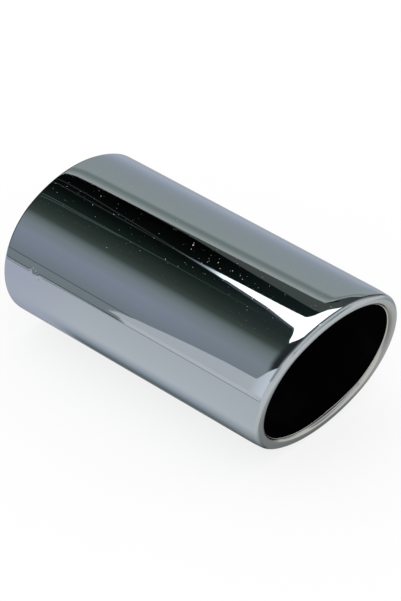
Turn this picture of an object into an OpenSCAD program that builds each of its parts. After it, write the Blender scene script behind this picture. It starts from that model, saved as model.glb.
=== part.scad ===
// Exhaust tip: one oval tube of polished stainless sheet.
// The rear is cut square and left open for the tailpipe. The outlet is cut on
// a slant, longer at the top, and its edge is rolled inwards in a half round.
// The tube's axis is X, with the outlet towards +X. Z is up.
// The origin is the centre of the rear opening.

/* [Oval] */
// Outside width of the oval
body_width = 80; // [72:1:96]
// Outside height of the oval
body_height = 65; // [54:1:70]

/* [Length and cut] */
// Length along the tube's axis, from the rear edge to the front of the lip
body_length = 136; // [80:1:220]
// Slant of the outlet, measured from a square cut
slant_angle = 10.5; // [0:0.5:25]

/* [Sheet and lip] */
// Thickness of the sheet
sheet = 1.2; // [0.8:0.1:2]
// Outside radius of the rolled lip
lip_radius = 2.5; // [2.2:0.1:5]
// Angle through which the edge of the sheet is rolled
lip_wrap = 180; // [100:5:200]
// Width of the broken edge round the outside of the rear cut
rear_break = 0.4; // [0.1:0.1:0.7]

/* [Hidden] */
$fn = 72;

// A length to the nearest thousandth of a millimetre
function to_micron(length) = round(1000 * length) / 1000;

// The oval is drawn with four arcs. The lines through their centres, on which
// one arc hands over to the next, are the long sides of 8-15-17 triangles.
// This is one unit of those triangles, a round number so that the arcs meet.
oval_unit = to_micron((body_width - body_height) / 12);
side_offset = 8 * oval_unit;
crown_offset = 15 * oval_unit;
side_radius = to_micron(body_width / 2) - side_offset;
crown_radius = side_radius + 17 * oval_unit;

// How far the slant moves a point for each millimetre of height
slant = tan(slant_angle);
// How far a cutting shape runs past the metal
spare = 5;
// Start of the wall, far enough back that the slant leaves nothing short
wall_start = -ceil(slant * body_height / 2 + spare);
// Units of an 8-15-17 triangle that take a sector's edge past the metal
sector_steps = ceil(body_width / 15);
cut_size = 2 * ceil(body_width + body_height);

// Section of the rolled edge: part of a ring, from the wall round to the cut
module lip_profile() {
    reach = 3 * lip_radius;
    steps = 4;
    difference() {
        intersection() {
            circle(r = lip_radius);
            polygon(concat([[0, 0]],
                [for (k = [0 : steps]) reach * [cos(k * lip_wrap / steps), sin(k * lip_wrap / steps)]]));
        }
        circle(r = lip_radius - sheet);
    }
}

// Section of the sheet at an arc of the given outside radius. Its Y runs
// along the tube: a straight wall that ends in the lip.
module sheet_profile(arc_radius) {
    roll_y = body_length - lip_radius;
    translate([arc_radius - sheet, wall_start])
        square([sheet, roll_y - wall_start]);
    translate([arc_radius - lip_radius, roll_y])
        lip_profile();
}

// Section of the cutter that breaks the outer edge of the rear cut
module break_profile(arc_radius) {
    translate([arc_radius, 0])
        polygon([
            [-rear_break - spare, -spare],
            [spare, -spare],
            [spare, rear_break + spare]
        ]);
}

// The part of the oval that one side arc covers, as a tall prism along Z
module side_sector() {
    sector_height = 2 * ceil(body_length + cut_size);
    translate([side_offset, 0, -sector_height / 2])
        linear_extrude(height = sector_height)
            polygon([
                [0, 0],
                sector_steps * [8, -15],
                [cut_size, -15 * sector_steps],
                [cut_size, 15 * sector_steps],
                sector_steps * [8, 15]
            ]);
}

// Sweeps a section round the oval. The first child is the section at a side
// arc, and the second child is the same section at a crown arc.
module round_oval() {
    for (turn = [0, 180])
        rotate([0, 0, turn]) {
            intersection() {
                translate([side_offset, 0, 0])
                    rotate_extrude()
                        children(0);
                side_sector();
            }
            difference() {
                translate([0, -crown_offset, 0])
                    rotate_extrude()
                        children(1);
                side_sector();
                mirror([1, 0, 0])
                    side_sector();
                // The crown ring's far half
                translate([-cut_size, -2 * cut_size, -cut_size])
                    cube(2 * cut_size);
            }
        }
}

// Turns a shape built along Z to lie along X, with its width along Y
module lay_along_x() {
    rotate([90, 0, 90])
        children();
}

// Moves each point along X by the slant times its height
module slanted() {
    multmatrix([
        [1, 0, slant, 0],
        [0, 1, 0, 0],
        [0, 0, 1, 0],
        [0, 0, 0, 1]
    ])
        children();
}

module tip_shell() {
    color([0.62, 0.65, 0.68])
        difference() {
            slanted()
                lay_along_x()
                    round_oval() {
                        sheet_profile(side_radius);
                        sheet_profile(crown_radius);
                    }
            // Square cut at the rear
            translate([-cut_size, -cut_size / 2, -cut_size / 2])
                cube(cut_size);
            lay_along_x()
                round_oval() {
                    break_profile(side_radius);
                    break_profile(crown_radius);
                }
        }
}

tip_shell();
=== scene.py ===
"""Exhaust tip: a polished oval tube with a rolled lip, lying in a small photo studio.

The tube's skin is one closed mesh that follows the real sheet: out along the wall, round the rolled
lip, and back through the bore. The studio is a pale floor, a white surround, and a curved tent of
panels that only mirror reflections see.
"""

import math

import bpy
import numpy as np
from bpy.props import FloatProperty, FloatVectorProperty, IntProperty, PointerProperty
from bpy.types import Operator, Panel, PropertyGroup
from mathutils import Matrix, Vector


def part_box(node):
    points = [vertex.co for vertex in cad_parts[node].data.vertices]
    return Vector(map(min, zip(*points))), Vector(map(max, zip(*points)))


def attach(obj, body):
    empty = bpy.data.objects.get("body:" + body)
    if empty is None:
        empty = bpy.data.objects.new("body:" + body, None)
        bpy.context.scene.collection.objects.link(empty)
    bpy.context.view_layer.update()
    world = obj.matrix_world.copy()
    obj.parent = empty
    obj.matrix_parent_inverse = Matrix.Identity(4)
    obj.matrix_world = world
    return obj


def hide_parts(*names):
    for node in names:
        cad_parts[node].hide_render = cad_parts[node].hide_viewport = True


bl_info = {
    "name": "Exhaust Tip Studio",
    "version": (1, 0, 0),
    "blender": (4, 5, 0),
    "location": "View3D > Sidebar > Exhaust Tip",
    "description": "Builds a polished oval exhaust tip, its finish and a small photo studio round it",
    "category": "Object",
}

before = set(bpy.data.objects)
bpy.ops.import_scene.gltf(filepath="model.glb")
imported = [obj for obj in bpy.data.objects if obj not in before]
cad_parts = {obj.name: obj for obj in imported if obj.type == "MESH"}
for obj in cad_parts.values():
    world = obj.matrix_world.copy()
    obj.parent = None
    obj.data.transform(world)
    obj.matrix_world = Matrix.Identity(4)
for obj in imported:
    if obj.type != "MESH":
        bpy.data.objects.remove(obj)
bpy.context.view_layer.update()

MM = 0.001
NODE = "tip_shell"
LOW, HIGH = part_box(NODE)
FLOOR_LEVEL = LOW.z

# Sides of the right triangles on which the oval's arcs hand over
TRIANGLE = (8, 15, 17)


# Properties

def length(name, text, default):
    """A length that a user may change, in metres."""
    return FloatProperty(name=name, description=text, default=default, unit="LENGTH", precision=5)


def angle(name, text, degrees):
    """An angle that a user may change, given in degrees."""
    return FloatProperty(name=name, description=text, default=math.radians(degrees), subtype="ANGLE")


def colour(name, text, default):
    """A colour that a user may change, in linear light."""
    return FloatVectorProperty(
        name=name, description=text, default=default, size=3, subtype="COLOR", min=0.0, max=1.0
    )


def share(name, text, default):
    """A number from 0 to 1."""
    return FloatProperty(name=name, description=text, default=default, min=0.0, max=1.0, subtype="FACTOR")


def brightness(name, text, default):
    """A brightness that a user may change, where 1 is white."""
    return FloatProperty(name=name, description=text, default=default, min=0.0)


def place_in_space(name, text, default):
    """A place that a user may change, in metres."""
    return FloatVectorProperty(
        name=name, description=text, default=default, size=3, subtype="TRANSLATION", precision=6
    )


class TipSizes(PropertyGroup):
    """Sizes of the tube's sheet."""

    width: length("Width", "Outside width of the oval", HIGH.y - LOW.y)
    height: length("Height", "Outside height of the oval", HIGH.z - LOW.z)
    sheet: length("Sheet", "Thickness of the sheet", 1.2 * MM)
    slant: angle("Slant", "Slant of the outlet, measured from a square cut", 10.5)
    lip_radius: length("Lip radius", "Outside radius of the rolled lip", 2.5 * MM)
    lead_radius: length("Lead-in radius", "Radius at which the wall begins to turn into the lip", 80 * MM)
    lead_angle: angle("Lead-in angle", "Angle that the lead-in turns before the lip proper", 4.5)
    wrap: angle("Wrap", "Angle through which the edge is rolled", 148)
    cone_length: length("Cone length", "Length that runs on straight past the roll", 0.75 * MM)
    flare_depth: length("Flare depth", "How far the sawn end of the rolled sheet turns inwards", 0.2 * MM)
    flare_length: length("Flare length", "Length of that turned end", 0.18 * MM)
    rear_break: length("Rear break", "Depth of the rounded edge outside the rear cut", 0.4 * MM)
    break_length: length("Break length", "Length of that rounding along the tube", 0.8 * MM)
    curl_depth: length("Curl depth", "How far the saw pulled the rear edge in", 0.06 * MM)
    curl_length: length("Curl length", "Length of the rear edge that is pulled in", 6 * MM)
    dent_depth: length("Dent depth", "Depth of the small dent at the rear left", 0.07 * MM)
    columns: IntProperty(name="Columns", description="Columns of the mesh round the oval", default=360)


class TipFinish(PropertyGroup):
    """Colours and roughness of the tube's surfaces."""

    polish: colour("Polish", "Mirror polished steel", (0.39, 0.43, 0.46))
    polish_roughness: share("Polish roughness", "Roughness of the mirror polish", 0.03)
    satin: colour("Satin", "Brushed steel on the outside of the lip", (0.43, 0.46, 0.47))
    satin_inside: colour("Satin inside", "Brushed steel on the inside of the lip", (0.47, 0.465, 0.44))
    satin_roughness: share("Satin roughness", "Roughness of the brushed lip", 0.15)
    # Painted shade: the bore's near-black colour and its lighter patches stand in for the dark inside of
    # the tube
    bore: colour("Bore", "Dull dark coat inside the tube", (0.0015, 0.0015, 0.0015))
    bore_shade_patches: colour("Worn bore", "Lighter patches of that coat", (0.006, 0.006, 0.0055))
    bore_roughness: share("Bore roughness", "Roughness of the coat inside the tube", 0.75)
    dust: colour("Dust", "Dust specks", (0.88, 0.88, 0.86))
    pit: colour("Pits", "Tiny dark pits low on the sides", (0.05, 0.055, 0.06))


class StudioSettings(PropertyGroup):
    """The floor, the surround, the tent of panels and the camera."""

    tent_radius: length("Tent radius", "Radius of the panels round the tube's axis", 350 * MM)
    softbox: brightness("Softbox", "Brightness of the overhead softbox", 3.0)
    softbox_tail: brightness("Softbox tail", "Brightness of the thin strip in line with the softbox", 2.0)
    surround: brightness("Surround", "Brightness of the white surround", 1.0)
    floor: colour("Floor", "Pale floor", (0.96, 0.96, 0.96))
    lamp_power: FloatProperty(
        name="Lamp power", description="Power of the overhead lamp", default=0.8, unit="POWER"
    )
    lamp_size: length("Lamp size", "Diameter of the overhead lamp", 0.8)
    lamp_place: place_in_space("Lamp place", "Where the overhead lamp hangs", (0.1, -0.1, 1.0))
    camera_place: place_in_space("Camera place", "Where the camera stands", (0.737522, -0.71279, 0.72071))
    azimuth: angle("Azimuth", "Camera's angle round the tube", 43.1651)
    elevation: angle("Elevation", "Camera's angle above the floor", 36.3872)
    lens: FloatProperty(
        name="Lens", description="Focal length in millimetres", default=186.358, unit="CAMERA"
    )


# Shader nodes

class Signal:
    """A socket of a shader tree. Operators on it add Math nodes."""

    def __init__(self, board, socket):
        self.board = board
        self.socket = socket

    def maths(self, operation, *values):
        """A Math node on this signal and the other values."""
        inputs = dict(enumerate((self,) + values))
        return self.board.node("ShaderNodeMath", {"operation": operation}, inputs)[0]

    def maths_after(self, operation, first):
        """A Math node on another value and then this signal."""
        return self.board.node("ShaderNodeMath", {"operation": operation}, {0: first, 1: self})[0]

    def __add__(self, other):
        return self.maths("ADD", other)

    def __radd__(self, other):
        return self.maths_after("ADD", other)

    def __sub__(self, other):
        return self.maths("SUBTRACT", other)

    def __rsub__(self, other):
        return self.maths_after("SUBTRACT", other)

    def __mul__(self, other):
        return self.maths("MULTIPLY", other)

    def __rmul__(self, other):
        return self.maths_after("MULTIPLY", other)

    def __truediv__(self, other):
        return self.maths("DIVIDE", other)

    def __rtruediv__(self, other):
        return self.maths_after("DIVIDE", other)


class Outputs:
    """A node's output sockets, by name or by number."""

    def __init__(self, board, node):
        self.board = board
        self.node = node

    def __getitem__(self, key):
        return Signal(self.board, self.node.outputs[key])


class Board:
    """A shader tree that is being wired."""

    def __init__(self, tree):
        self.tree = tree
        tree.nodes.clear()

    def node(self, kind, settings=None, inputs=None):
        """Adds a node. Its settings come first, then the values or links of its sockets."""
        node = self.tree.nodes.new(kind)
        for key, value in (settings or {}).items():
            if key == "stops":
                self.set_stops(node.color_ramp, value)
            else:
                setattr(node, key, value)
        for key, value in (inputs or {}).items():
            if isinstance(value, Signal):
                self.tree.links.new(value.socket, node.inputs[key])
            else:
                node.inputs[key].default_value = value
        return Outputs(self, node)

    @staticmethod
    def set_stops(ramp, stops):
        """Gives a colour ramp its stops, each a place from 0 to 1 and a colour."""
        while len(ramp.elements) > 1:
            ramp.elements.remove(ramp.elements[-1])
        for number, (place, shade) in enumerate(stops):
            element = ramp.elements[0] if number == 0 else ramp.elements.new(place)
            element.position = place
            element.color = (*shade, 1.0)

    def step(self, signal, low, high):
        """Rises smoothly from 0 to 1 as the signal goes from low to high."""
        inputs = {"Value": signal, "From Min": low, "From Max": high}
        return self.node("ShaderNodeMapRange", {"interpolation_type": "SMOOTHSTEP"}, inputs)[0]

    def blend(self, factor, first, second):
        """Colour that goes from first to second as the factor goes from 0 to 1."""
        inputs = {0: factor, 6: as_rgba(first), 7: as_rgba(second)}
        return self.node("ShaderNodeMix", {"data_type": "RGBA"}, inputs)[2]

    def blend_value(self, factor, first, second):
        """Number that goes from first to second as the factor goes from 0 to 1."""
        return self.node("ShaderNodeMix", {"data_type": "FLOAT"}, {0: factor, 2: first, 3: second})[0]

    def stretch(self, vector, scales):
        """A vector with each of its parts multiplied."""
        return self.node("ShaderNodeVectorMath", {"operation": "MULTIPLY"}, {0: vector, 1: scales})[0]

    def attribute(self, name):
        """A number stored on the mesh's points."""
        return self.node("ShaderNodeAttribute", {"attribute_name": name})["Fac"]

    def surface(self, shader):
        """Ends the tree in this shader."""
        self.node("ShaderNodeOutputMaterial", None, {"Surface": shader})


def as_rgba(value):
    """A colour with its alpha, or a signal as it is."""
    return value if isinstance(value, Signal) else (*value[:3], 1.0)


def new_material(name):
    """An empty material and the board of its tree."""
    material = bpy.data.materials.new(name)
    material.use_nodes = True
    return material, Board(material.node_tree)


# The tube's skin

# Rings of the mesh along the sheet's path: at the rear edge that is drawn in, along the wall behind the
# dent, over the dent, along the rest of the wall, just behind the lip, along the lead-in, round the lip,
# back inside the roll, through the bore, and round the rear edge
CURL_ROWS = 12
PLAIN_ROWS = 2
DENT_ROWS = 60
WALL_ROWS = 16
LAST_ROWS = 4
LEAD_ROWS = 16
LIP_ROWS = 44
INNER_ROWS = 12
BORE_ROWS = 12
REAR_ROWS = 8
# Length of wall just behind the lip that has rings of its own
LAST_SPAN = 1.5 * MM
# How far behind the roll's centre the bore's straight wall begins
BORE_GAP = 2 * MM
# Rounding of the sheet's sawn corners
EDGE_ROUND = 0.12 * MM
# Points of a rounded corner, as shares of the rounding along the sheet and through it
CORNER = ((0.7, 0.3), (1, 1))
# How far the sawn edge runs along the sheet and through it, as shares of the sheet's thickness
SAWN_EDGE = (0.4, 0.9)
# Share of its depth that the flared end has halfway along
HALF_FLARE = 0.4
# The sheet was sawn unevenly: degrees round the oval, then how many millimetres further it runs there
END_REACH = ((0, 0.0), (258, 0.0), (268, 0.25), (280, 0.5), (291, 0.25), (300, 0.0), (360, 0.0))
# The mesh is finer over this stretch of the wall and these directions, which hold the small dent
DENT_SPAN = (11 * MM, 22 * MM)
DENT_TURNS = (math.radians(155), math.radians(172))
DENT_COLUMNS = 64
# Lobes of the dent: place along the tube, direction, half lengths along and round, and share of depth
DENT_LOBES = (
    (14.6 * MM, math.radians(161.2), 0.55 * MM, 0.90 * MM, -0.9),
    (16.2 * MM, math.radians(162.6), 0.65 * MM, 0.70 * MM, 1.0),
    (17.6 * MM, math.radians(165.2), 0.60 * MM, 0.60 * MM, -0.8),
    (19.0 * MM, math.radians(166.6), 0.70 * MM, 0.55 * MM, 0.8),
)


def oval_arcs(sizes):
    """Centre and radius of the oval's side arcs, then of its crown arcs."""
    unit = (sizes.width - sizes.height) / (2 * (TRIANGLE[0] + TRIANGLE[1] - TRIANGLE[2]))
    side_centre = TRIANGLE[0] * unit
    side_radius = sizes.width / 2 - side_centre
    return side_centre, side_radius, TRIANGLE[1] * unit, side_radius + TRIANGLE[2] * unit


def oval_points(turn, inset, sizes):
    """Y and Z on the oval, where turn is the direction of the outward normal from +Y."""
    side_centre, side_radius, crown_centre, crown_radius = oval_arcs(sizes)
    across = np.cos(turn)
    upward = np.sin(turn)
    on_side = np.abs(upward) * TRIANGLE[0] <= np.abs(across) * TRIANGLE[1]
    radius = np.where(on_side, side_radius, crown_radius) - inset
    y = radius * across + np.where(on_side, side_centre * np.sign(across), 0.0)
    z = radius * upward - np.where(on_side, 0.0, crown_centre * np.sign(upward))
    return y, z


def axis_length(sizes):
    """Length of the tube on its axis, from the rear cut to the front of the lip."""
    # The slant puts the lip's foremost point at the top of the mouth
    slope = math.tan(sizes.slant)
    top = sizes.height / 2 - sizes.lip_radius
    return HIGH.x - slope * top - sizes.lip_radius * (math.hypot(1, slope) - 1)


def on_roll(centre_x, centre_inset, radius, roll):
    """X and inset of a point on the roll."""
    return centre_x + radius * math.sin(roll), centre_inset - radius * math.cos(roll)


def lip_section(sizes):
    """Outside of the rolled lip, from the wall to the end of the roll, as rows of x, inset and roll.

    Also gives the x and inset of the roll's centre, and its radius."""
    lead = sizes.lead_angle
    lead_radius = sizes.lead_radius
    radius = (2 * sizes.lip_radius - lead_radius * (1 - math.cos(lead))) / (1 + math.cos(lead))
    start = axis_length(sizes) - lead_radius * math.sin(lead) - radius * (1 - math.sin(lead))
    centre_x = start + (lead_radius - radius) * math.sin(lead)
    centre_inset = lead_radius * (1 - math.cos(lead)) + radius * math.cos(lead)
    rows = []
    for roll in np.linspace(0, lead, LEAD_ROWS, endpoint=False):
        rows.append((start + lead_radius * math.sin(roll), lead_radius * (1 - math.cos(roll)), roll))
    for roll in np.linspace(lead, sizes.wrap, LIP_ROWS):
        rows.append((*on_roll(centre_x, centre_inset, radius, roll), roll))
    return rows, centre_x, centre_inset, radius


def wall_places(start, end, sizes):
    """Places of the rings along the outer wall, closer together where the surface is not straight."""
    parts = [
        np.linspace(start, sizes.curl_length, CURL_ROWS, endpoint=False),
        np.linspace(sizes.curl_length, DENT_SPAN[0], PLAIN_ROWS, endpoint=False),
        np.linspace(*DENT_SPAN, DENT_ROWS, endpoint=False),
        np.linspace(DENT_SPAN[1], end - LAST_SPAN, WALL_ROWS, endpoint=False),
        np.linspace(end - LAST_SPAN, end, LAST_ROWS, endpoint=False),
    ]
    return np.concatenate(parts)


def sheet_end(lip, sizes):
    """The sheet past the roll, as rows of x, inset and reach: straight, flared in, then its sawn edge."""
    x, inset, roll = lip[-1]
    start = x + sizes.cone_length * math.cos(roll)
    outer = inset + sizes.cone_length * math.sin(roll)
    tip = start - sizes.flare_length
    crest = outer + sizes.flare_depth
    corner = [(tip - along * EDGE_ROUND, crest - through * EDGE_ROUND, 1) for along, through in CORNER]
    back = tip - EDGE_ROUND - SAWN_EDGE[0] * sizes.sheet
    return [
        ((x + start) / 2, (inset + outer) / 2, 0),
        (start, outer, 0),
        (start, outer, 1 / 2),
        (start, outer, 1),
        ((start + tip) / 2, outer + HALF_FLARE * sizes.flare_depth, 1),
        (tip, crest, 1),
        *corner,
        (back, crest - SAWN_EDGE[1] * sizes.sheet, 1),
    ]


def sheet_path(sizes):
    """The sheet's closed section, from the rear and round, as rows of x, inset, roll, bore and reach."""
    lip, centre_x, centre_inset, radius = lip_section(sizes)
    path = [(x, 0, 0, 0, 0) for x in wall_places(sizes.break_length, lip[0][0], sizes)]
    path += [(x, inset, roll, 0, 0) for x, inset, roll in lip]
    path += [(x, inset, sizes.wrap, 0, reach) for x, inset, reach in sheet_end(lip, sizes)]
    for roll in np.linspace(sizes.wrap, 0, INNER_ROWS):
        x, inset = on_roll(centre_x, centre_inset, radius - sizes.sheet, roll)
        path.append((x, inset, sizes.wrap, 1, 0))
    for x in np.linspace(centre_x - BORE_GAP, 2 * EDGE_ROUND, BORE_ROWS):
        path.append((x, sizes.sheet, 0, 1, 0))
    path.append((EDGE_ROUND, sizes.sheet, 0, 0, 0))
    path.append((0, sizes.sheet - EDGE_ROUND, 0, 0, 0))
    for turn in np.linspace(math.pi / 2, 0, REAR_ROWS, endpoint=False):
        x = sizes.break_length * (1 - math.sin(turn))
        path.append((x, sizes.rear_break * (1 - math.cos(turn)), 0, 0, 0))
    return np.array(path)


def dent_inset(x, turn, sizes):
    """How far the small dent pushes the outer wall in."""
    _, side_radius, _, _ = oval_arcs(sizes)
    total = np.zeros_like(x)
    for place, middle, along, around, part in DENT_LOBES:
        distance = ((x - place) / along) ** 2 + ((turn - middle) * side_radius / around) ** 2
        total += part * sizes.dent_depth * np.exp(-distance / 2)
    return total


def column_turns(sizes):
    """Directions of the mesh's columns round the oval, closer together at the small dent."""
    even = np.linspace(0, 2 * math.pi, sizes.columns, endpoint=False)
    apart = even[(even < DENT_TURNS[0]) | (even > DENT_TURNS[1])]
    return np.sort(np.concatenate([apart, np.linspace(*DENT_TURNS, DENT_COLUMNS)]))


def skin_points(sizes):
    """Points of the skin in rows, one row for each step of the sheet's path, and their attributes."""
    path = sheet_path(sizes)
    turn = column_turns(sizes)
    x, inset, roll, bore, reach = (np.repeat(path[:, k : k + 1], len(turn), axis=1) for k in range(5))
    turns = np.repeat(turn[None, :], len(path), axis=0)
    degrees, millimetres = np.transpose(END_REACH)
    x = x - reach * np.interp(np.degrees(turns), degrees, millimetres) * MM
    outside = (roll == 0) & (bore == 0) & (inset == 0)
    inset = inset + np.where(outside, dent_inset(x, turns, sizes), 0.0)
    curl = np.clip(1 - x / sizes.curl_length, 0, 1) ** 2 * sizes.curl_depth
    y, z = oval_points(turns, inset + curl, sizes)
    straight = axis_length(sizes) - sizes.lip_radius
    slanted = x + np.clip(x / straight, 0, 1) * math.tan(sizes.slant) * z
    points = np.stack([slanted, y, z], axis=-1)
    return points, roll, bore


def grid_faces(rows, columns, closed):
    """Quads of a grid. If it is closed, its last row and column join its first."""
    faces = []
    for row in range(rows if closed else rows - 1):
        this = row * columns
        below = (row + 1) % rows * columns
        for column in range(columns if closed else columns - 1):
            beside = (column + 1) % columns
            faces.append((this + column, this + beside, below + beside, below + column))
    return faces


def new_object(name, points, faces, smooth=True):
    """An object at the origin with this mesh, in the scene."""
    mesh = bpy.data.meshes.new(name)
    mesh.from_pydata([tuple(p) for p in points], [], faces)
    mesh.validate()
    mesh.polygons.foreach_set("use_smooth", [smooth] * len(mesh.polygons))
    thing = bpy.data.objects.new(name, mesh)
    bpy.context.scene.collection.objects.link(thing)
    return thing


def store(mesh, name, values):
    """Keeps a number for each point of the mesh."""
    attribute = mesh.attributes.new(name, "FLOAT", "POINT")
    attribute.data.foreach_set("value", np.ascontiguousarray(values, dtype=np.float32).ravel())


def outward(mesh):
    """Turns the faces of a closed mesh to point outwards."""
    volume = 0.0
    for polygon in mesh.polygons:
        volume += polygon.center.dot(polygon.normal) * polygon.area
    if volume < 0:
        mesh.flip_normals()


# The finish

# Roll angles over which mirror polish turns into brushed satin, and over which the satin turns warmer
SATIN_ROLL = (math.radians(11), math.radians(20))
WARM_ROLL = (math.radians(85), math.radians(125))
# Scales of the brush lines round the rim, of the polishing lines along the tube, and of the smudges
BRUSH_SCALES = (14.0, 60.0, 60.0)
POLISH_SCALES = (40.0, 800.0, 800.0)
SMUDGE_SCALE = 38.0
# Values of the smudges' noise over which they set in, on the polish and in the bore
POLISH_SMUDGES = (0.4, 0.8)
BORE_SMUDGES = (0.45, 0.75)
# How much rougher smudges and brush lines make the steel, and how rough dust is
SMUDGE_ROUGHNESS = 0.02
BRUSH_ROUGHNESS = 0.1
DUST_ROUGHNESS = 0.9
# How high the polishing lines stand beside the brush lines, and the strength and depth of both
POLISH_RELIEF = 0.02
RELIEF_STRENGTH = 0.3
RELIEF_DEPTH = 0.03 * MM
# How much the painted bore shade and the dust shine, which are not metal
DULL_SHINE = 0.05
# Fine dust and dark pits: cells in a metre, share of the cells that hold a speck, and the radius of the
# smallest and of the largest speck in cells
FINE_DUST = (900.0, 0.8, 0.03, 0.17)
PITS = (150.0, 0.35, 0.012, 0.03)
# Height of the surface's normal where there are none of them, and where there are most
DUST_FACING = (0.8, 0.97)
PIT_FACING = (0.45, 0.2)
# How strongly the fine dust shows
FINE_DUST_SHARE = 0.35
# Share of a speck's radius within which it is solid, and how sharply the cells with a speck are picked
SPECK_CORE = 0.6
PICK_WIDTH = 0.01
# The largest specks of dust: place along the tube, degrees round the oval, and radius, in millimetres
LONE_SPECKS = (
    (71.7, 97.8, 0.34), (71.1, 96.6, 0.17), (72.7, 100.2, 0.18), (81.2, 98.0, 0.11),
    (82.6, 102.1, 0.14), (86.3, 99.6, 0.19), (89.1, 101.9, 0.16), (93.9, 99.9, 0.18),
    (98.0, 100.0, 0.12), (100.0, 101.2, 0.16), (99.6, 105.6, 0.15), (109.9, 107.3, 0.19),
    (92.8, 104.9, 0.15), (67.6, 110.7, 0.17), (74.3, 110.7, 0.12), (75.5, 107.7, 0.11),
    (56.5, 101.2, 0.13), (56.4, 104.4, 0.13), (22.6, 98.4, 0.17), (34.2, 103.6, 0.17),
    (23.4, 104.6, 0.15), (42.8, 119.6, 0.15),
)


def noise(board, vector, scale, detail=2.0):
    """Soft noise from 0 to 1."""
    inputs = {"Vector": vector, "Scale": scale, "Detail": detail}
    return board.node("ShaderNodeTexNoise", None, inputs)["Fac"]


def brush_lines(board, place, roll):
    """Noise in lines that run round the rim."""
    parts = board.node("ShaderNodeSeparateXYZ", None, {"Vector": place})
    unrolled = {"X": roll, "Y": parts["Y"], "Z": parts["Z"]}
    unrolled = board.node("ShaderNodeCombineXYZ", None, unrolled)["Vector"]
    return noise(board, board.stretch(unrolled, BRUSH_SCALES), 1.0, detail=3.0)


def speckled(board, place, scale, part, smallest, largest):
    """Round specks of many sizes in a part of the cells, as a mask."""
    cells = board.node("ShaderNodeTexVoronoi", None, {"Vector": place, "Scale": scale})
    chosen = board.node("ShaderNodeSeparateColor", None, {"Color": cells["Color"]})
    size = chosen["Green"] * chosen["Green"] * (largest - smallest) + smallest
    round_speck = board.step(cells["Distance"] / size, 1.0, SPECK_CORE)
    return round_speck * board.step(chosen["Red"], 1 - part - PICK_WIDTH, 1 - part)


def lone_specks(board, place, sizes):
    """A mask of the largest specks of dust."""
    total = 0
    for along, degrees, radius in LONE_SPECKS:
        y, z = oval_points(math.radians(degrees), 0.0, sizes)
        centre = {0: place, 1: (along * MM, float(y), float(z))}
        distance = board.node("ShaderNodeVectorMath", {"operation": "DISTANCE"}, centre)["Value"]
        total = total + board.step(distance, radius * MM, SPECK_CORE * radius * MM)
    return total


def dust_and_pits(board, place, outside, sizes):
    """Masks of the dust on the tube's top and of the dark pits on its flanks."""
    normal = board.node("ShaderNodeNewGeometry")["Normal"]
    facing_up = board.node("ShaderNodeSeparateXYZ", None, {"Vector": normal})["Z"]
    fine_dust = speckled(board, place, *FINE_DUST) * board.step(facing_up, *DUST_FACING) * outside
    dust = (fine_dust * FINE_DUST_SHARE).maths("MAXIMUM", lone_specks(board, place, sizes))
    pit = speckled(board, place, *PITS) * board.step(facing_up, *PIT_FACING) * outside
    return dust, pit


def steel_material(finish, sizes):
    """Mirror polish on the wall, brushed satin on the lip, a dull near-black painted shade in the bore,
    and dust.
    """
    material, board = new_material("polished_steel")
    place = board.node("ShaderNodeTexCoord")["Object"]
    roll = board.attribute("roll")
    bore = board.attribute("bore")
    outside = 1 - bore
    satin = board.step(roll, *SATIN_ROLL) * outside
    brushed = brush_lines(board, place, roll)
    polished = noise(board, board.stretch(place, POLISH_SCALES), 1.0)
    smudged = noise(board, place, SMUDGE_SCALE, detail=3.0)
    dust, pit = dust_and_pits(board, place, outside, sizes)

    lip = board.blend(board.step(roll, *WARM_ROLL), finish.satin, finish.satin_inside)
    steel = board.blend(satin, finish.polish, lip)
    # Painted shade in the bore: near black, with lighter patches where the smudge noise is high
    bore_shade = board.blend(board.step(smudged, *BORE_SMUDGES), finish.bore, finish.bore_shade_patches)
    base = board.blend(bore, steel, bore_shade)
    base = board.blend(pit, base, finish.pit)
    base = board.blend(dust, base, finish.dust)

    polish_rough = finish.polish_roughness + board.step(smudged, *POLISH_SMUDGES) * SMUDGE_ROUGHNESS
    rough = board.blend_value(satin, polish_rough, finish.satin_roughness + brushed * BRUSH_ROUGHNESS)
    rough = board.blend_value(bore, rough, finish.bore_roughness)
    rough = board.blend_value(dust, rough, DUST_ROUGHNESS)
    relief = brushed * satin + polished * (1 - satin) * POLISH_RELIEF
    bump = {"Strength": RELIEF_STRENGTH, "Distance": RELIEF_DEPTH, "Height": relief}
    shader = {
        "Base Color": base,
        "Roughness": rough,
        "Metallic": outside * (1 - dust),
        "Specular IOR Level": DULL_SHINE,
        "Normal": board.node("ShaderNodeBump", None, bump)["Normal"],
    }
    board.surface(board.node("ShaderNodeBsdfPrincipled", None, shader)[0])
    return material


class TIP_OT_skin(Operator):
    """Builds the tube's skin along the sheet's own section and gives it its finish"""

    bl_idname = "exhaust_tip.skin"
    bl_label = "Build the tube"

    def execute(self, context):
        sizes = context.scene.tip_sizes
        points, roll, bore = skin_points(sizes)
        rows, columns = roll.shape
        skin = new_object("tip_skin", points.reshape(-1, 3), grid_faces(rows, columns, closed=True))
        store(skin.data, "roll", roll)
        store(skin.data, "bore", bore)
        outward(skin.data)
        skin.data.materials.append(steel_material(context.scene.tip_finish, sizes))
        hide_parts(NODE)
        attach(skin, "root")
        return {"FINISHED"}


# The studio

# A card's stops: how far along its measure, then the colour that it shows there.
# The rear panel counts degrees down from its upper edge.
REAR_STOPS = (
    (0, (0.70, 0.71, 0.66)),
    (3, (0.60, 0.64, 0.60)),
    (4.6, (0.46, 0.50, 0.465)),
    (8, (0.34, 0.385, 0.365)),
    (9.5, (0.34, 0.395, 0.375)),
    (13, (0.57, 0.615, 0.595)),
    (36, (0.51, 0.555, 0.575)),
    (44, (0.50, 0.55, 0.605)),
    (54, (0.55, 0.60, 0.70)),
    (62, (0.60, 0.65, 0.75)),
)
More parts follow.
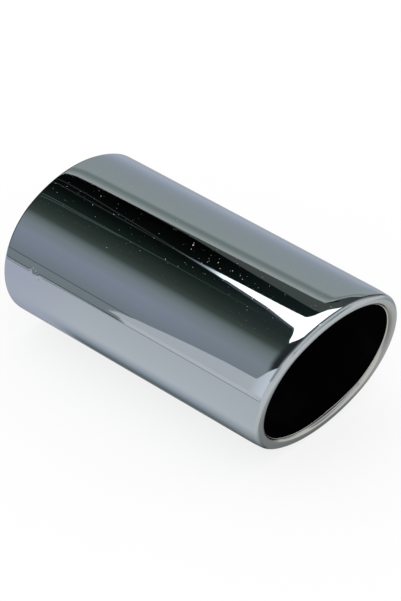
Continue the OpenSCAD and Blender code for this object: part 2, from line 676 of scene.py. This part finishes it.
# The front panel counts degrees round the tube's axis from +Y
FRONT_STOPS = (
    (60, (0.002, 0.002, 0.002)),
    (80, (0.007, 0.011, 0.009)),
    (90, (0.018, 0.032, 0.024)),
    (104, (0.066, 0.086, 0.071)),
    (112, (0.10, 0.13, 0.11)),
    (120, (0.29, 0.335, 0.33)),
    (128, (0.40, 0.44, 0.465)),
    (142, (0.475, 0.51, 0.60)),
    (158, (0.44, 0.475, 0.56)),
    (173, (0.38, 0.42, 0.455)),
    (186, (0.38, 0.43, 0.445)),
)
# Past the tube's middle it is greyer
FRONT_MIDDLE_STOPS = (
    (60, (0.014, 0.024, 0.020)),
    (80, (0.022, 0.033, 0.028)),
    (86, (0.040, 0.055, 0.052)),
    (95, (0.038, 0.056, 0.048)),
    (104, (0.064, 0.082, 0.071)),
    (112, (0.10, 0.13, 0.11)),
    (120, (0.275, 0.32, 0.31)),
    (128, (0.37, 0.415, 0.425)),
    (142, (0.445, 0.49, 0.525)),
    (158, (0.415, 0.455, 0.50)),
    (173, (0.37, 0.41, 0.435)),
    (186, (0.37, 0.41, 0.425)),
)
# Towards its outlet end the front panel is dark
FRONT_END_STOPS = ((60, (0.04, 0.048, 0.048)), (186, (0.04, 0.048, 0.048)))
# The shade over the outlet counts millimetres along the axis
SHADE_STOPS = (
    (-170, (0.05, 0.055, 0.06)),
    (0, (0.11, 0.12, 0.125)),
    (15, (0.19, 0.20, 0.205)),
    (61, (0.31, 0.32, 0.34)),
    (106, (0.54, 0.56, 0.58)),
    (153, (0.81, 0.83, 0.86)),
    (203, (0.98, 1.0, 1.0)),
    (260, (1.0, 1.0, 1.0)),
)
# The panel beyond the outlet counts degrees round the axis too
OUTLET_STOPS = (
    (36, (0.03, 0.035, 0.035)),
    (44, (0.05, 0.055, 0.055)),
    (45, (0.45, 0.49, 0.52)),
    (80, (0.62, 0.67, 0.72)),
    (110, (0.85, 0.88, 0.92)),
    (111, (0.30, 0.33, 0.35)),
    (118, (0.34, 0.38, 0.40)),
)
# The floor behind the tube counts millimetres from the tube's axis. It is painted grey as shade, darker
# near the tube
FAR_STOPS = (
    (50, (0.42, 0.45, 0.475)),
    (120, (0.47, 0.50, 0.53)),
    (180, (0.53, 0.565, 0.645)),
    (352, (0.63, 0.68, 0.78)),
)
# The softbox's thin tip counts millimetres along the axis
TIP_STOPS = (
    (-148, (0.10, 0.12, 0.13)),
    (-136, (0.24, 0.28, 0.30)),
    (-128, (0.62, 0.70, 0.72)),
    (-121, (1.7, 1.8, 1.8)),
    (-115, (3.0, 3.0, 3.0)),
)
# So does the wall in front. It ends in a bright margin and a dark line.
WALL_STOPS = (
    (-175, (0.90, 0.915, 0.93)),
    (-75, (0.90, 0.915, 0.93)),
    (-42, (1.06, 1.09, 1.15)),
    (-10, (1.20, 1.23, 1.30)),
    (19, (1.24, 1.27, 1.34)),
    (20, (0.38, 0.40, 0.43)),
    (27, (0.38, 0.40, 0.43)),
    (28, (0.95, 0.97, 1.0)),
    (30, (0.95, 0.97, 1.0)),
)

# The cards that make up the tent: how far outside the tent's radius each hangs, in millimetres, and its
# stations. A station is a place along the axis in millimetres, then the angles round it at which the card
# begins and ends there. Where cards overlap, the inner one shows.
CARDS = {
    "outlet_side": (7, ((3, 138, 160), (240, 138, 160))),
    "back_wall": (8, ((-12000, -8, 188), (-2450, -8, 188))),
    "front_wall": (8, ((-175, 150, 186), (-60, 150, 186), (-40, 140, 186), (30, 140, 186))),
    "front_panel": (5, (
        (-450, -8, 186), (-166, -8, 186), (-159, -8, 180), (-143, -8, 175.5), (-110, -8, 169),
        (-85, -8, 165.5), (-58, -8, 164.5), (-50, -8, 162), (-38, -8, 156), (-27, -8, 150), (-13, -8, 144),
        (4, -8, 138), (145, -8, 134),
    )),
    "grey_wedge": (2, (
        (-190, 54, 55.7), (-157, 53, 56.4), (-137, 53, 57.8), (-110, 52, 60), (-72, 50.5, 62.7),
        (-50, 48, 63), (-36, 40, 62), (-24, 32, 55), (-10, 24, 45),
    )),
    "outlet_shade": (1, ((-48, 4, 40), (-20, 4, 44), (0, 4, 50), (3, 4, 138), (260, 4, 138))),
    "rear_panel": (0, (
        (-450, -8, 66), (-262, -8, 62), (-249, -8, 59.8), (-236, -8, 58.2), (-223, -8, 57), (-72, -8, 51),
        (-62, -8, 49.5), (-51, -8, 44), (-36, -8, 28), (-16, -8, 16), (14, -8, 10), (60, -8, 4),
    )),
    "line_a": (0, ((-272, 69.3, 70.0), (-220, 69.8, 70.5), (-140, 76.6, 77.1))),
    "line_b": (0, ((-272, 74.0, 74.7), (-150, 76.3, 76.9))),
    "line_c": (0, ((-272, 90.2, 91.2), (-160, 90.5, 91.1), (-85, 90.8, 90.95))),
    "line_d": (0, ((-272, 93.4, 94.4), (-182, 91.2, 91.9))),
    "line_e": (0, ((-272, 174.6, 176.2), (-145, 176.0, 177.4))),
    "softbox_edge": (-1, (
        (-152, 76.6, 76.9), (-136, 76.6, 77.8), (-123, 76.1, 79.4), (-110, 75.2, 82.0), (-85, 74.5, 85.2),
        (-71, 74.0, 88.6), (-60, 73.0, 90.2), (-52, 71.2, 92),
    )),
    "softbox": (-2, (
        (-136, 76.9, 77.2), (-123, 76.3, 77.8), (-110, 75.4, 79.6), (-85, 74.8, 82.6), (-71, 74.2, 86.2),
        (-60, 73.1, 88.6), (-52, 71.2, 91.5), (-44, 68, 95), (-38, 63, 99.5), (-30, 57, 103),
        (-21, 53, 100), (-12, 49, 97), (-4, 47, 92),
    )),
    "softbox_tip": (-3, ((-148, 76.4, 77.0), (-136, 76.3, 77.9), (-123, 76.0, 78.7), (-115, 75.6, 79.6))),
    "softbox_tail": (-2, ((45, 77.5, 78), (60, 76.9, 79), (118, 76.9, 79), (160, 77.5, 78.2))),
    "outlet_panel": (0, ((290, 36, 118), (640, 36, 118))),
    "end_panel": (-3, ((-2500, -8, 186), (-335, -8, 186))),
}
# Colours of the cards that have only one. The rounded rear edge alone reflects the dark end panel.
CARD_SHADES = {
    "outlet_side": (0.55, 0.59, 0.63),
    "back_wall": (0.40, 0.43, 0.46),
    "grey_wedge": (0.115, 0.128, 0.115),
    "line_a": (0.075, 0.08, 0.08),
    "line_b": (0.075, 0.08, 0.08),
    "line_c": (0.11, 0.15, 0.14),
    "line_d": (0.11, 0.15, 0.14),
    "line_e": (0.20, 0.23, 0.23),
    "softbox_edge": (0.15, 0.17, 0.18),
    "softbox": (1, 1, 1),
    "softbox_tail": (1, 1, 1),
    "end_panel": (0.02, 0.02, 0.02),
}
# The front panel's bands lean by so many degrees for each millimetre past this place
LEAN = 0.016
LEAN_START = -223
# Places over which the front panel's bands turn greyer, and over which its outlet end turns dark
GREY_PLACES = (-150, -60)
DARK_PLACES = (-50, -18)
# The dark end lags by so many millimetres for each degree past this angle
DARK_LAG = 0.7
DARK_LAG_START = 134
# The bands of the shade over the outlet lag near its edges: first and last degrees, then millimetres
SHADE_LAGS = ((42, 16, 120), (110, 130, -50))

# The floor beside the tube counts millimetres across from the tube's axis. It carries a painted shadow of
# the tube: dark under the tube, less beside its rear end and beside its mouth.
NEAR_STOPS = (
    (-200, (0.91, 0.92, 0.94)),
    (-60, (0.95, 0.965, 0.985)),
    (-50, (0.93, 0.95, 0.975)),
    (-45, (0.79, 0.82, 0.885)),
    (-39, (0.50, 0.565, 0.63)),
    (-35, (0.295, 0.345, 0.39)),
    (-31, (0.155, 0.18, 0.185)),
    (-27, (0.19, 0.22, 0.235)),
    (-10, (0.28, 0.285, 0.29)),
)
NEAR_REAR_STOPS = (
    (-200, (0.84, 0.825, 0.96)),
    (-60, (0.825, 0.83, 0.955)),
    (-51, (0.79, 0.82, 0.90)),
    (-45, (0.75, 0.79, 0.875)),
    (-39, (0.67, 0.705, 0.83)),
    (-35, (0.58, 0.61, 0.735)),
    (-31, (0.52, 0.52, 0.62)),
    (-27, (0.39, 0.41, 0.46)),
    (-10, (0.35, 0.37, 0.40)),
)
NEAR_MOUTH_STOPS = (
    (-200, (0.91, 0.92, 0.94)),
    (-50, (0.92, 0.945, 0.96)),
    (-46, (0.84, 0.88, 0.88)),
    (-39, (0.58, 0.62, 0.62)),
    (-35, (0.42, 0.46, 0.47)),
    (-31, (0.24, 0.27, 0.28)),
    (-27, (0.12, 0.135, 0.14)),
    (-10, (0.15, 0.16, 0.165)),
)
# The floor in front of the mouth counts millimetres across too. It carries painted shade from the tube,
# and is lighter further out
MOUTH_STOPS = (
    (-45, (0.28, 0.29, 0.30)),
    (20, (0.26, 0.27, 0.27)),
    (31, (0.37, 0.37, 0.36)),
    (45, (0.60, 0.60, 0.59)),
    (95, (0.66, 0.67, 0.68)),
)
MOUTH_FAR_STOPS = ((-45, (0.93, 0.95, 0.97)), (95, (0.93, 0.95, 0.97)))

# The strips that lie on the floor, from the lowest: how many lifts above the floor each lies, and its
# stations. A station is a place along the axis in millimetres, then the distances across it at which the
# strip begins and ends there.
# The far, near and mouth strips carry painted shade and a painted shadow of the tube, seen only in mirrors
STRIPS = {
    "far_shade_strip": (1, ((-450, 50, 352), (200, 50, 352))),
    "near_shadow_strip": (2, ((-450, -200, -10), (-130, -200, -10), (150, -200, -10))),
    "mouth_shade_strip": (3, ((112, -18, 95), (130, -25, 95), (150, -45, 95), (230, -45, 95))),
    "skirt": (4, (
        (-450, -352, -224), (-158, -352, -224), (-134, -321, -224), (-94, -263, -224), (-66, -226, -224),
    )),
    "skirt_edge": (5, ((-450, -232, -216), (-75, -230, -214), (-52, -206, -203))),
    "skirt_margin": (6, ((-450, -216, -188), (-75, -214, -192), (-55, -206, -202))),
    "skirt_line": (7, (
        (-450, -180, -166), (-104, -180, -167), (-75, -184, -171), (-60, -196, -186), (-46, -202, -190),
        (-17, -202, -190), (29, -200, -189), (64, -200, -189),
    )),
    "skirt_turn": (8, ((21, -356, -338), (65, -206, -188))),
}
# Colours of the strips that have only one
STRIP_SHADES = {
    "skirt": (0.37, 0.42, 0.43),
    "skirt_edge": (0.03, 0.03, 0.035),
    "skirt_margin": (0.52, 0.56, 0.60),
    "skirt_line": (0.36, 0.40, 0.42),
    "skirt_turn": (0.36, 0.40, 0.42),
}
# Height of each strip above the one below it
STRIP_LIFT = 0.2 * MM
# The near strip's rear bands end at this place where they are this far from the axis, and so many
# millimetres further back for each millimetre further out
REAR_END = 19
REAR_END_DISTANCE = 32
REAR_END_SLOPE = 0.63
# Distances from the axis, and half the length over which the rear bands fade out there
REAR_FADE = ((34, 40, 60), (8, 22, 32))
# Places over which the near strip's mouth bands set in, and over which the mouth strip gets lighter
MOUTH_PLACES = (88, 122)
MOUTH_FAR_PLACES = (130, 220)
# Share of the floor that is plain white to the camera and through glass, and to mirrors
FLOOR_WHITE = 0.8
FLOOR_MIRRORED_WHITE = 0.1
# Half the length of the floor's sides, in metres
FLOOR_REACH = 4.0
# Width of the camera's sensor in millimetres, and how far it sees in metres
SENSOR_WIDTH = 36
CAMERA_REACH = 20


def reflected_only(thing):
    """Makes a card of the studio one that only mirror reflections see."""
    thing.visible_camera = False
    thing.visible_diffuse = False
    thing.visible_transmission = False
    thing.visible_volume_scatter = False
    thing.visible_shadow = False


def plain_glow(name, shade, strength=1.0):
    """A material that shows one colour."""
    material, board = new_material(name)
    glow = {"Color": as_rgba(shade), "Strength": strength}
    board.surface(board.node("ShaderNodeEmission", None, glow)[0])
    return material


def band_ramp(board, stops):
    """Colour that goes through the stops as the card's band attribute goes from 0 to 1."""
    first = stops[0][0]
    span = stops[-1][0] - first
    shades = {"stops": [((place - first) / span, shade) for place, shade in stops]}
    return board.node("ShaderNodeValToRGB", shades, {"Fac": board.attribute("band")})["Color"]


def banded_glow(name, stops, others):
    """A material that shows the stops, and turns to each of the others as its share goes from 0 to 1."""
    material, board = new_material(name)
    shade = band_ramp(board, stops)
    for number, other in enumerate(others):
        shade = board.blend(board.attribute("share_%d" % number), shade, band_ramp(board, other))
    board.surface(board.node("ShaderNodeEmission", None, {"Color": shade, "Strength": 1.0})[0])
    return material


def card_mesh(name, stations, across, along, bend):
    """A card with straight edges from station to station, bent by a function of its second measure.

    Returns the card, and the place along the axis and that measure at each of its points."""
    stations = np.array(stations, dtype=float)
    steps = np.linspace(0, len(stations) - 1, (len(stations) - 1) * along + 1)
    place, begin, end = (np.interp(steps, np.arange(len(stations)), stations[:, k]) for k in range(3))
    measure = begin[:, None] + (end - begin)[:, None] * np.linspace(0, 1, across + 1)[None, :]
    x = np.repeat(place[:, None], across + 1, axis=1)
    y, z = bend(measure)
    points = np.stack([x * MM, y, z], axis=-1)
    faces = grid_faces(len(steps), across + 1, closed=False)
    return new_object(name, points.reshape(-1, 3), faces), x, measure


def curved_card(name, stations, radius, across=60, along=8):
    """A card bent round the tube's axis, whose second measure is in degrees."""
    def bend(degrees):
        turn = np.radians(degrees)
        return radius * np.cos(turn), radius * np.sin(turn)
    return card_mesh(name, stations, across, along, bend)


def floor_strip(name, stations, lift, across=8, along=4):
    """A card that lies just above the floor, whose second measure is in millimetres."""
    def bend(aside):
        return aside * MM, np.full_like(aside, FLOOR_LEVEL + lift)
    return card_mesh(name, stations, across, along, bend)


def give_bands(card, stops, counted, others=()):
    """Makes a card's colour follow the stops, and shows it only in reflections.

    The others are further stops with the share that each has at every point of the card."""
    first = stops[0][0]
    store(card.data, "band", (counted - first) / (stops[-1][0] - first))
    for number, (_, part) in enumerate(others):
        store(card.data, "share_%d" % number, part)
    card.data.materials.append(banded_glow(card.name, stops, [other for other, _ in others]))
    reflected_only(card)


def give_glow(card, shade, strength=1.0):
    """Gives a card one colour, and shows it only in reflections."""
    card.data.materials.append(plain_glow(card.name, shade, strength))
    reflected_only(card)


def rise(values, low, high):
    """Rises smoothly from 0 to 1 as the values go from low to high."""
    part = np.clip((values - low) / (high - low), 0, 1)
    return part * part * (3 - 2 * part)


def hang_tent(studio):
    """Hangs the cards of the tent round the tube."""
    def hang(name, along=8):
        outwards, stations = CARDS[name]
        return curved_card(name, stations, studio.tent_radius + outwards * MM, along=along)

    def hang_plain(name, strength=1.0):
        give_glow(hang(name)[0], CARD_SHADES[name], strength)

    hang_plain("outlet_side")
    hang_plain("back_wall")
    wall, place, _ = hang("front_wall")
    give_bands(wall, WALL_STOPS, place)

    front, place, degrees = hang("front_panel", along=16)
    lean = LEAN * np.maximum(place - LEAN_START, 0)
    lag = DARK_LAG * np.maximum(degrees - DARK_LAG_START, 0)
    grey = rise(place, *GREY_PLACES)
    dark = rise(place - lag, *DARK_PLACES)
    give_bands(front, FRONT_STOPS, degrees - lean, [(FRONT_MIDDLE_STOPS, grey), (FRONT_END_STOPS, dark)])
    hang_plain("grey_wedge")

    shade, place, degrees = hang("outlet_shade", along=16)
    for first, last, lag in SHADE_LAGS:
        place = place - lag * np.clip((degrees - first) / (last - first), 0, 1)
    give_bands(shade, SHADE_STOPS, place)
    rear, _, degrees = hang("rear_panel")
    give_bands(rear, REAR_STOPS, degrees.max(axis=1, keepdims=True) - degrees)
    for letter in "abcde":
        hang_plain("line_" + letter)

    hang_plain("softbox_edge")
    hang_plain("softbox", studio.softbox)
    tip, place, _ = hang("softbox_tip")
    give_bands(tip, TIP_STOPS, place)
    hang_plain("softbox_tail", studio.softbox_tail)
    outlet, _, degrees = hang("outlet_panel")
    give_bands(outlet, OUTLET_STOPS, degrees)
    hang_plain("end_panel")


def lay_strips():
    """Lays the strips on the floor that the tube's underside, its far side and its lip reflect, with
    painted shade and a painted shadow of the tube on them.
    """
    def lay(name, across=8, along=4):
        lifts, stations = STRIPS[name]
        return floor_strip(name, stations, lifts * STRIP_LIFT, across, along)

    # Painted shade on the floor behind the tube
    far, _, aside = lay("far_shade_strip")
    give_bands(far, FAR_STOPS, aside)

    # Painted shadow of the tube on the floor beside and under it
    near, place, aside = lay("near_shadow_strip", across=95, along=40)
    distance = np.abs(aside)
    end = REAR_END - REAR_END_SLOPE * (distance - REAR_END_DISTANCE)
    fade = np.interp(distance, *REAR_FADE)
    to_rear = 1 - rise(place, end - fade, end + fade)
    to_mouth = rise(place, *MOUTH_PLACES)
    give_bands(near, NEAR_STOPS, aside, [(NEAR_REAR_STOPS, to_rear), (NEAR_MOUTH_STOPS, to_mouth)])

    # Painted shade on the floor in front of the mouth
    mouth, place, aside = lay("mouth_shade_strip", across=28, along=8)
    further_out = np.interp(place, MOUTH_FAR_PLACES, (0, 1))
    give_bands(mouth, MOUTH_STOPS, aside, [(MOUTH_FAR_STOPS, further_out)])
    for name, shade in STRIP_SHADES.items():
        give_glow(lay(name)[0], shade)


def floor_material(studio):
    """A pale floor that the camera sees as white, with the object's soft shadow kept on it."""
    material, board = new_material("studio_floor")
    path = board.node("ShaderNodeLightPath")
    matt = board.node("ShaderNodeBsdfDiffuse", None, {"Color": (*studio.floor, 1.0)})[0]
    white = board.node("ShaderNodeEmission", None, {"Color": (1, 1, 1, 1), "Strength": 1.0})[0]
    direct = path["Is Camera Ray"] * FLOOR_WHITE + path["Is Glossy Ray"] * FLOOR_MIRRORED_WHITE
    lit = direct + path["Is Transmission Ray"] * FLOOR_WHITE
    board.surface(board.node("ShaderNodeMixShader", None, {0: lit, 1: matt, 2: white})[0])
    return material


def white_surround(studio):
    """Makes the world a plain white surround."""
    world = bpy.data.worlds.new("white_surround")
    world.use_nodes = True
    bpy.context.scene.world = world
    board = Board(world.node_tree)
    glow = {"Color": (1, 1, 1, 1), "Strength": studio.surround}
    background = board.node("ShaderNodeBackground", None, glow)[0]
    board.node("ShaderNodeOutputWorld", None, {"Surface": background})


def overhead_lamp(studio):
    """A broad soft lamp above the tube, which mirrors do not show."""
    light = bpy.data.lights.new("overhead_lamp", "AREA")
    light.shape = "DISK"
    light.size = studio.lamp_size
    light.energy = studio.lamp_power
    lamp = bpy.data.objects.new("overhead_lamp", light)
    lamp.location = studio.lamp_place
    lamp.visible_glossy = False
    bpy.context.scene.collection.objects.link(lamp)


def photo_camera(studio):
    """The camera, at the photograph's own angle."""
    azimuth = studio.azimuth
    elevation = studio.elevation
    right = Vector((math.cos(azimuth), math.sin(azimuth), 0))
    back = Vector((
        math.sin(azimuth) * math.cos(elevation),
        -math.cos(azimuth) * math.cos(elevation),
        math.sin(elevation),
    ))
    turn = Matrix((right, back.cross(right), back)).transposed()
    data = bpy.data.cameras.new("photo_camera")
    data.lens = studio.lens
    data.sensor_width = SENSOR_WIDTH
    data.clip_end = CAMERA_REACH
    camera = bpy.data.objects.new("photo_camera", data)
    camera.matrix_world = Matrix.Translation(studio.camera_place) @ turn.to_4x4()
    bpy.context.scene.collection.objects.link(camera)
    bpy.context.scene.camera = camera


def lay_floor(studio):
    """Lays the pale floor at the level that the tube lies on."""
    signs = ((-1, -1), (1, -1), (1, 1), (-1, 1))
    corners = [(x * FLOOR_REACH, y * FLOOR_REACH, FLOOR_LEVEL) for x, y in signs]
    floor = new_object("studio_floor", corners, [(0, 1, 2, 3)], smooth=False)
    floor.data.materials.append(floor_material(studio))


class TIP_OT_studio(Operator):
    """Sets up the floor, the white surround, the tent of panels, the lamp and the camera"""

    bl_idname = "exhaust_tip.studio"
    bl_label = "Set up the studio"

    def execute(self, context):
        studio = context.scene.tip_studio
        photo_camera(studio)
        white_surround(studio)
        overhead_lamp(studio)
        lay_floor(studio)
        hang_tent(studio)
        lay_strips()
        context.scene.view_settings.view_transform = "Standard"
        return {"FINISHED"}


class TIP_PT_sidebar(Panel):
    """Lists the steps and their settings"""

    bl_idname = "TIP_PT_sidebar"
    bl_label = "Exhaust Tip"
    bl_space_type = "VIEW_3D"
    bl_region_type = "UI"
    bl_category = "Exhaust Tip"

    def draw(self, context):
        steps = ((TIP_OT_skin, ("tip_sizes", "tip_finish")), (TIP_OT_studio, ("tip_studio",)))
        for operator, groups in steps:
            box = self.layout.box()
            box.operator(operator.bl_idname)
            for group in groups:
                settings = getattr(context.scene, group)
                for name in settings.bl_rna.properties.keys():
                    if name not in ("rna_type", "name"):
                        box.prop(settings, name)


GROUPS = (("tip_sizes", TipSizes), ("tip_finish", TipFinish), ("tip_studio", StudioSettings))
CLASSES = (TipSizes, TipFinish, StudioSettings, TIP_OT_skin, TIP_OT_studio, TIP_PT_sidebar)


def register():
    """Registers the classes and hangs the settings on the scene."""
    for kind in CLASSES:
        bpy.utils.register_class(kind)
    for name, kind in GROUPS:
        setattr(bpy.types.Scene, name, PointerProperty(type=kind))


def unregister():
    """Takes the settings and the classes away again."""
    for name, _ in GROUPS:
        delattr(bpy.types.Scene, name)
    for kind in reversed(CLASSES):
        bpy.utils.unregister_class(kind)


def main():
    """Builds the tube and the studio."""
    register()
    bpy.ops.exhaust_tip.skin()
    bpy.ops.exhaust_tip.studio()


if __name__ == "__main__":
    main()
